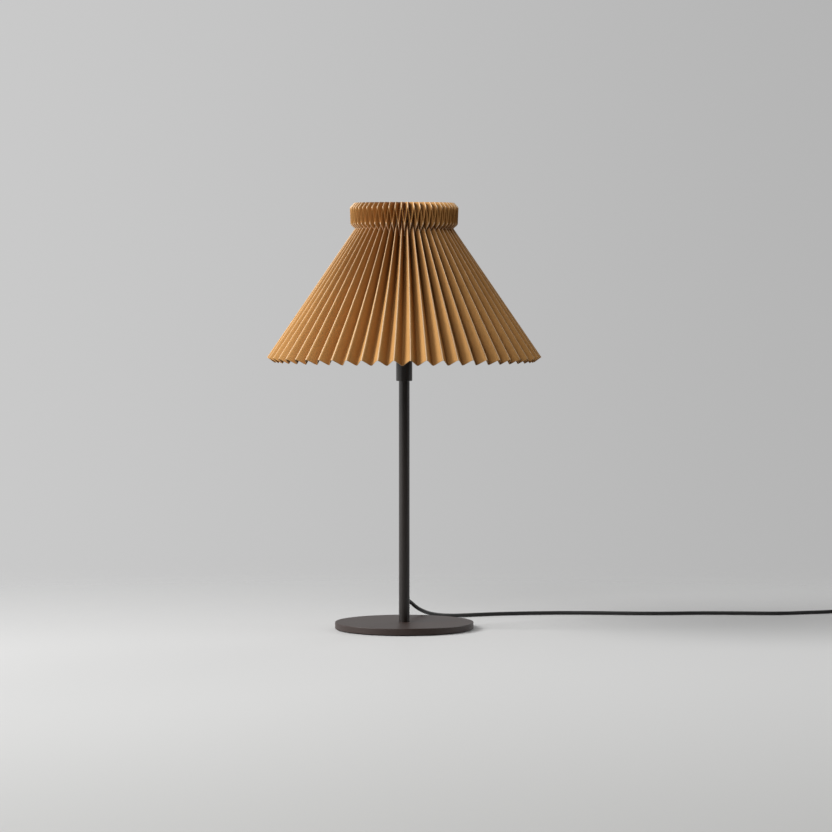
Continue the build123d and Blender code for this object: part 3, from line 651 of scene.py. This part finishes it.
# %% The glued lap
lap_panel = pleat_count          # counted from the front ridge, so this one is at the back
lap_share = 0.94                 # of the panel's width that it covers
lap_columns = 12
lap_lift = 1.1                   # papers' thickness between the middles of the two layers
lap_probe = 0.02                 # share of a panel to the point beside, which gives the slope


def lap_columns_at(row):
    return [(lap_panel, lap_share * step / lap_columns) for step in range(lap_columns + 1)]


def lap_spot(panel, s, row):
    spot = sheet_spot(panel, s, row)
    beside = sheet_spot(panel, s + lap_probe, row) - spot
    other_row = row + 1 if row + 1 < row_count else row - 1
    above = sheet_spot(panel, s, other_row) - spot
    normal = beside.cross(above).normalized()
    outwards = 1 if normal.dot(Vector((spot.x, spot.y, 0))) > 0 else -1
    return spot + normal * outwards * paper * lap_lift


lap = place(bpy.data.objects.new("sheet_lap", sheet_mesh("sheet_lap", lap_columns_at, lap_spot, False)))
print("lap faces", len(lap.data.polygons))

# %% [markdown]
# ## Kraft paper
#
# Kraft paper is made of long unbleached fibres. Close up it is a tan felt with darker and lighter
# fibres that lie mostly one way, small flecks, and soft clouds where the pulp was thicker. Where it is
# folded, the fibres on the outside are stretched and look a little lighter; that light line is drawn
# stronger as a painted highlight, and on the collar every fold gets it. The colour also carries painted
# shade: darker towards each valley, darker up the cone towards the neck, and darker in the middle of
# each collar panel. The fibres need a flat map of the sheet, so the mesh carries one: the first number
# counts panels round the shade, and the second is the way up the fold in millimetres.

# %% Paper material
paper_light = (0.620, 0.332, 0.112)
paper_dark = (0.480, 0.236, 0.064)
# the light line along the folds: wear of the stretched fibres with a painted highlight on top
crease_wear_and_highlight = (0.86, 0.62, 0.40)
# painted shade: the colour that the valleys, the upper cone and the collar's panels are darkened towards
painted_shade_tone = (0.255, 0.104, 0.023)
panel_width = 15.2               # millimetres, as the next three
fibre_width = 0.5
fibre_length = 6
collar_start = 2                 # way above the neck in which the cone's look passes into the collar's
clouds_weight = 0.5              # weights of the three patterns in the paper's tone
grain_weight = 0.9
fibres_weight = 0.9
crease_edge = (0.02, 0.10)       # shares of a panel from a fold between which its light line ends
crease_wider = 0.05              # and how much further out both are on the collar
crease_cover = 0.85              # share of the light colour in that line, all of it on the collar
# painted shade: the valleys, the cone near the neck and the middle of the collar's panels are darkened
valley_edge = (0.30, 1.0)        # share of a panel from the ridge in which the valley's dark comes up
valley_cover = 0.75
neck_edge = (0.25, 0.95)         # share of the way up the cone in which the neck's dark comes up
neck_cover = 0.5
collar_edge = (0.10, 0.40)       # share of a panel from a fold in which the collar's dark comes up
collar_cover = 0.25


def paper_shader(recipe):
    spot = recipe.position()
    sheet_map = recipe.node("UVMap", {"uv_map": "sheet"})
    clouds = recipe.noise(spot, size=30 * MM, detail=3)
    grain = recipe.noise(spot, size=0.9 * MM, detail=3, rough=0.6)
    along_fibres = recipe.stretched(sheet_map, panel_width / fibre_width, 1 / fibre_length, 1)
    fibres = recipe.noise(along_fibres, size=1, rough=0.6)
    panels = recipe.node("SeparateXYZ", None, {"Vector": sheet_map}, "X")
    up = recipe.node("SeparateXYZ", None, {"Vector": sheet_map}, "Y")
    # the ridges lie where the count of panels is even, and the valleys where it is odd
    from_ridge = abs((panels * 0.5 + 0.5).fraction() - 0.5) * 2
    from_fold = 0.5 - abs(panels.fraction() - 0.5)
    neck_up = way_up[cone_rows] / MM
    on_collar = up.between(neck_up, neck_up + collar_start)
    wider = on_collar * crease_wider
    from_crease = from_ridge * (1 - on_collar) + from_fold * on_collar
    # a light line along the folds, on every fold of the collar: fibre wear and a painted highlight
    crease_wear_and_glint = 1 - from_crease.between(crease_edge[0] + wider, crease_edge[1] + wider)
    tone = ((clouds - 0.5) * clouds_weight + (grain - 0.5) * grain_weight
            + (fibres - 0.5) * fibres_weight + 0.5)
    colour = recipe.colour(tone.between(0, 1), paper_dark, paper_light)
    # painted shade in the valleys, darker towards each valley fold
    painted_valley_shade = from_ridge.between(*valley_edge) * valley_cover
    # painted shade up the cone towards the neck, where the pleats crowd and shade one another
    painted_neck_shade = (up / neck_up).between(*neck_edge) * neck_cover
    # painted shade in the middle of each collar panel, between its folds
    painted_collar_shade = from_fold.between(*collar_edge) * on_collar * collar_cover
    colour = recipe.colour((painted_valley_shade + painted_neck_shade) * (1 - on_collar) + painted_collar_shade, colour, painted_shade_tone)
    wear_and_highlight_share = crease_wear_and_glint * (crease_cover + on_collar * (1 - crease_cover))
    colour = recipe.colour(wear_and_highlight_share, colour, crease_wear_and_highlight)
    return recipe.node("BsdfPrincipled", None, {
        "Base Color": colour,
        "Specular IOR Level": 0.3,
        "Roughness": 0.74 + grain * 0.14,
        "Normal": recipe.bump(grain * 0.6 + fibres * 0.4, 0.06 * MM)})


def cut_edge_shader(recipe):
    """The cut edge of the sheet, which is paler than its faces."""
    grain = recipe.noise(recipe.position(), size=0.4 * MM)
    return recipe.node("BsdfPrincipled", None, {
        "Base Color": recipe.colour(grain, (0.62, 0.45, 0.27), (0.78, 0.61, 0.40)),
        "Roughness": 0.85})


kraft_paper = material("kraft_paper", paper_shader)
kraft_edge = material("kraft_cut_edge", cut_edge_shader)


def thicken(piece, thickness, face_material, edge_material):
    """Give a sheet its thickness, in the mesh itself, with its own material on the cut edge."""
    piece.data.materials.append(face_material)
    piece.data.materials.append(edge_material)
    modifier = piece.modifiers.new("thickness", "SOLIDIFY")
    modifier.thickness = thickness
    modifier.offset = 0
    modifier.material_offset_rim = 1
    scene_now = bpy.context.evaluated_depsgraph_get()
    piece.data = bpy.data.meshes.new_from_object(piece.evaluated_get(scene_now))
    piece.modifiers.clear()
    piece.data.shade_smooth()
    piece.data.set_sharp_from_angle(angle=radians(50))


for paper_piece in (sheet, lap):
    thicken(paper_piece, paper, kraft_paper, kraft_edge)
    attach(paper_piece, "shade")
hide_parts("paper_shade")
print("sheet with thickness", len(sheet.data.polygons), "faces")

# %% [markdown]
# ## Dark metal
#
# The metal is powder coated in two close tones: the plate in a dark brown, and the tube, the cup and
# the wire carrier in a black with a trace of brown. Powder coating is a plastic skin on the metal: it
# isn't metallic to look at, it has a soft wide sheen, and close up a fine pebbled surface. The grain
# is finer than a pixel from where the camera stands, and shows when it moves in. One function makes
# both shaders from two close colours and a roughness.

# %% Powder coating
def powder_shader(dark, light, rough):
    def shader(recipe):
        spot = recipe.position()
        pebbles = recipe.noise(spot, size=0.35 * MM, rough=0.55)
        clouds = recipe.noise(spot, size=40 * MM)
        return recipe.node("BsdfPrincipled", None, {
            "Base Color": recipe.colour(clouds, dark, light),
            "Roughness": rough + pebbles * 0.10 + clouds * 0.04,
            "Normal": recipe.bump(pebbles, 0.025 * MM)})
    return shader


brown_coat = material("powder_coat_plate", powder_shader(
    (0.024, 0.012, 0.008), (0.031, 0.015, 0.011), rough=0.40))
black_coat = material("powder_coat_stem", powder_shader(
    (0.0100, 0.0062, 0.0045), (0.0130, 0.0082, 0.0060), rough=0.26))
dress(brown_coat, "base_plate")
dress(black_coat, "stem_tube", "stem_cup", "carrier_hub", "carrier_arms", "carrier_ring")
print("coats", brown_coat.name, black_coat.name)

# %% [markdown]
# ## The small parts
#
# The rest is seen when the shade is lifted off or the camera comes near: zinc-plated screws, brass
# contacts, moulded plastic, a ceramic insert, a foam pad and the opal globe. None of them is one flat
# colour. Each gets a grain that shifts the colour, the roughness and the height a little together,
# and they differ in how dull they are and in whether they are metal.

# %% Other finishes
grain_in_roughness = 0.1         # how far the grain moves a finish's roughness in all


def plain_shader(dark, light, rough, metal=0.0, grain_size=0.6 * MM, depth=0.01 * MM):
    """A finish with a fine grain: two close colours, one roughness."""
    def shader(recipe):
        grain = recipe.noise(recipe.position(), grain_size)
        return recipe.node("BsdfPrincipled", None, {
            "Base Color": recipe.colour(grain, dark, light),
            "Roughness": rough - grain_in_roughness / 2 + grain * grain_in_roughness,
            "Metallic": metal,
            "Normal": recipe.bump(grain, depth)})
    return shader


steel = material("zinc_steel", plain_shader(
    (0.50, 0.50, 0.49), (0.62, 0.62, 0.60), rough=0.32, metal=1.0))
brass = material("brass", plain_shader(
    (0.62, 0.44, 0.18), (0.72, 0.52, 0.23), rough=0.28, metal=1.0))
black_plastic = material("black_plastic", plain_shader(
    (0.014, 0.014, 0.014), (0.022, 0.022, 0.022), rough=0.42))
foam = material("foot_pad", plain_shader(
    (0.012, 0.012, 0.012), (0.030, 0.029, 0.028), rough=0.9, grain_size=0.4 * MM, depth=0.1 * MM))
ceramic = material("ceramic", plain_shader(
    (0.78, 0.77, 0.73), (0.84, 0.83, 0.80), rough=0.25))
white_plastic = material("white_plastic", plain_shader(
    (0.74, 0.74, 0.72), (0.80, 0.80, 0.78), rough=0.38))
opal = material("opal_glass", plain_shader(
    (0.82, 0.81, 0.78), (0.86, 0.85, 0.82), rough=0.22, grain_size=8 * MM, depth=0.004 * MM))
insulation = material("core_insulation", plain_shader(
    (0.20, 0.10, 0.05), (0.24, 0.12, 0.06), rough=0.4))

dress(steel, "stem_foot", "stem_screw", "cup_screw", "threaded_nipple", "switch_screws", "plug_pins")
dress(brass, "holder_shell", "holder_contact", "holder_terminals", "bulb_contact")
dress(brass, "switch_contacts", "switch_spring")
dress(black_plastic, "holder_cap", "clamp_ring", "switch_base", "switch_cover", "switch_rocker", "plug_body")
dress(cord_black, "cord_relief", "plug_tail", "stem_flex")
dress(foam, "base_pad")
dress(ceramic, "holder_insert")
dress(white_plastic, "bulb_housing", "bulb_board")
dress(opal, "bulb_globe")
dress(insulation, "flex_cores")
small_finishes = (steel, brass, black_plastic, foam, ceramic, white_plastic, opal, insulation)
small_parts = [name for name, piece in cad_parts.items() if piece.active_material in small_finishes]
print(len(small_finishes), "finishes on", len(small_parts), "small parts")

# %% [markdown]
# ## Screw threads
#
# The lampholder's skirt has a coarse moulded thread that the clamp ring runs on, and the bulb's cap
# has the rolled thread of every small screw bulb. Both are shallow and even, so they can be a bump
# that follows the height. Where the turn round the axis is taken off the height, the rings become a
# real helix: one turn of the angle lifts the thread by its pitch.

# %% Threaded finishes
def threaded_shader(dark, light, rough, metal, pitch, depth):
    def shader(recipe):
        spot = recipe.position()
        grain = recipe.noise(spot, size=0.5 * MM)
        x, y, z = [recipe.node("SeparateXYZ", None, {"Vector": spot}, axis) for axis in "XYZ"]
        turns = x.maths("ARCTAN2", y, x) / (2 * pi)
        phase = (z / pitch - turns) * (2 * pi)
        wave = phase.maths("SINE", phase)
        return recipe.node("BsdfPrincipled", None, {
            "Base Color": recipe.colour(grain, dark, light),
            "Roughness": rough + grain * 0.08,
            "Metallic": metal,
            "Normal": recipe.bump(wave * 0.5 + 0.5, depth)})
    return shader


moulded_thread = material("moulded_thread", threaded_shader(
    (0.014, 0.014, 0.014), (0.020, 0.020, 0.020), rough=0.38, metal=0.0, pitch=2.5 * MM, depth=0.5 * MM))
rolled_thread = material("rolled_thread", threaded_shader(
    (0.60, 0.60, 0.58), (0.70, 0.70, 0.68), rough=0.24, metal=1.0, pitch=2.8 * MM, depth=0.6 * MM))
dress(moulded_thread, "holder_skirt")
dress(rolled_thread, "bulb_cap")
print("threads", moulded_thread.name, rolled_thread.name)

# %% [markdown]
# ## The tie
#
# A short length of hook tape holds the coil. It goes once round the two layers of cord and closes on
# itself, so that its last 14 mm lie on its own start. The line of the tape is a rounded rectangle
# whose last stretch is a little more than one thickness further out, and the mesh is that line
# carried across the tape's width.

# %% The tape round the coil
tie_thickness = 0.8 * MM
tie_round = 1.6 * MM             # radius of its corners
tie_lap = 7 * MM                 # on each side of the middle of its top
tie_climb = 2 * MM               # way in which it rises onto its own start
tie_lift = 1.1                   # thicknesses that it rises
tie_steps = 6                    # in a corner, and across the tape


def tape_line():
    """The tape's middle line in (x, z), from its start, once round, to its end on top."""
    low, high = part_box("cord_tie")
    middle = (low + high) / 2
    half = (high - low) / 2 - Vector((1, 1, 1)) * (tie_thickness / 2)
    corner = Vector((half.x - tie_round, half.z - tie_round))
    line = [Vector((middle.x - tie_lap, middle.z + half.z))]
    for quarter, (side_x, side_z) in enumerate(((1, 1), (1, -1), (-1, -1), (-1, 1))):
        for step in range(tie_steps + 1):
            angle = pi / 2 - (quarter + step / tie_steps) * pi / 2
            line.append(Vector((middle.x + side_x * corner.x + tie_round * cos(angle),
                                middle.z + side_z * corner.y + tie_round * sin(angle))))
    lifted = middle.z + half.z + tie_thickness * tie_lift
    line.append(Vector((middle.x - tie_lap - tie_climb, middle.z + half.z)))
    line.append(Vector((middle.x - tie_lap, lifted)))
    line.append(Vector((middle.x + tie_lap, lifted)))
    return line, low.y, high.y


def tape_mesh():
    line, front, back = tape_line()
    print("tape", round(sum((b - a).length for a, b in zip(line, line[1:])) / MM), "mm long")
    spots = [(spot.x, front + (back - front) * step / tie_steps, spot.y)
             for spot in line for step in range(tie_steps + 1)]
    return grid_mesh("coil_tape", spots, tie_steps + 1, tie_steps)


def tape_shader(recipe):
    """Woven tape: threads that lie along it, under a dull black pile."""
    spot = recipe.position()
    weave = recipe.noise(recipe.stretched(spot, 1, 3, 1), size=0.7 * MM, rough=0.7)
    pile = recipe.noise(spot, size=0.3 * MM, rough=0.7)
    return recipe.node("BsdfPrincipled", None, {
        "Base Color": recipe.colour(weave, (0.010, 0.010, 0.012), (0.036, 0.036, 0.040)),
        "Roughness": 0.8 + pile * 0.15,
        "Normal": recipe.bump(weave * 0.6 + pile * 0.4, 0.15 * MM)})


tape = place(bpy.data.objects.new("coil_tape", tape_mesh()))
woven_tape = material("woven_tape", tape_shader)
thicken(tape, tie_thickness, woven_tape, woven_tape)
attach(tape, "stand")
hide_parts("cord_tie")
on_coil = [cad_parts[name] for name in plug_nodes] + [tape]

# %% [markdown]
